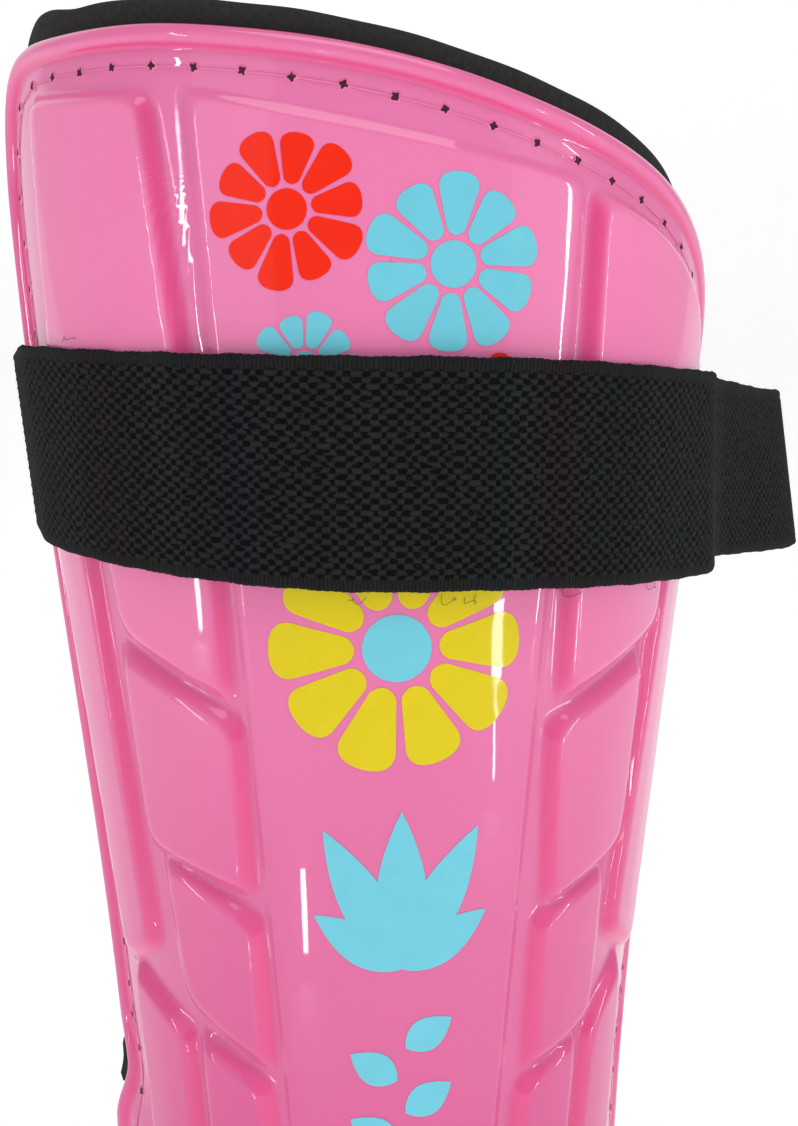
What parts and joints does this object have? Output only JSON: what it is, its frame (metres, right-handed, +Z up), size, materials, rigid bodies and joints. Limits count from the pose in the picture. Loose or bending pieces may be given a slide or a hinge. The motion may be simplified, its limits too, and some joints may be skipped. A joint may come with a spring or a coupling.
{
  "type": "child's soccer shin guard",
  "caption": "Curved moulded shin shell with a rolled rim, raised pads and a printed centre panel, sewn to a foam liner, with elastic straps that close round the calf.",
  "frame": {"origin": "middle of the lining's inner face on the crown line, half way up the shell, where the guard rests on the shin", "axes": "+Z up the shin, -Y out of the front of the shell, +X to the viewer's right seen from the front"},
  "size_m": [0.1382, 0.1362, 0.1949],
  "materials": {
    "shell": "glossy moulded polypropylene",
    "foam_liner": "closed-cell foam",
    "lining": "brushed knit",
    "rim_thread": "nylon thread",
    "back_thread": "nylon thread",
    "upper_band": "woven elastic",
    "upper_tab_root": "woven elastic",
    "upper_loop": "woven elastic",
    "upper_hook_patch": "moulded hooks on tape",
    "upper_tab": "looped pile",
    "lower_base": "woven elastic",
    "lower_loop": "woven elastic",
    "lower_hook_patch": "moulded hooks on tape",
    "lower_tab": "looped pile"
  },
  "bodies": {
    "guard": {"shell": "shell", "foam_liner": "foam_liner", "lining": "lining", "rim_thread": "rim_thread", "back_thread": "back_thread", "upper_band": "upper_band", "upper_tab_root": "upper_tab_root", "lower_base": "lower_base"},
    "upper_strap_end": {"upper_loop": "upper_loop", "upper_hook_patch": "upper_hook_patch"},
    "upper_short_tab": {"upper_tab": "upper_tab"},
    "lower_strap_end": {"lower_loop": "lower_loop", "lower_hook_patch": "lower_hook_patch"},
    "lower_short_tab": {"lower_tab": "lower_tab"}
  },
  "joints": [
    {"name": "upper_strap_swing", "type": "hinge", "parent": "guard", "child": "upper_strap_end", "pos_m": [0.0605, 0.0555, 0.0333], "axis": [0, 0, 1], "range_deg": [-60, 0]},
    {"name": "upper_tab_swing", "type": "hinge", "parent": "guard", "child": "upper_short_tab", "pos_m": [-0.0365, 0.0361, 0.0376], "axis": [0, 0, 1], "range_deg": [-30, 0]},
    {"name": "lower_strap_swing", "type": "hinge", "parent": "guard", "child": "lower_strap_end", "pos_m": [0.0276, 0.046, -0.055], "axis": [0, 0, 1], "range_deg": [-60, 0]},
    {"name": "lower_tab_swing", "type": "hinge", "parent": "guard", "child": "lower_short_tab", "pos_m": [-0.0275, 0.0281, -0.055], "axis": [0, 0, 1], "range_deg": [-30, 0]}
  ]
}
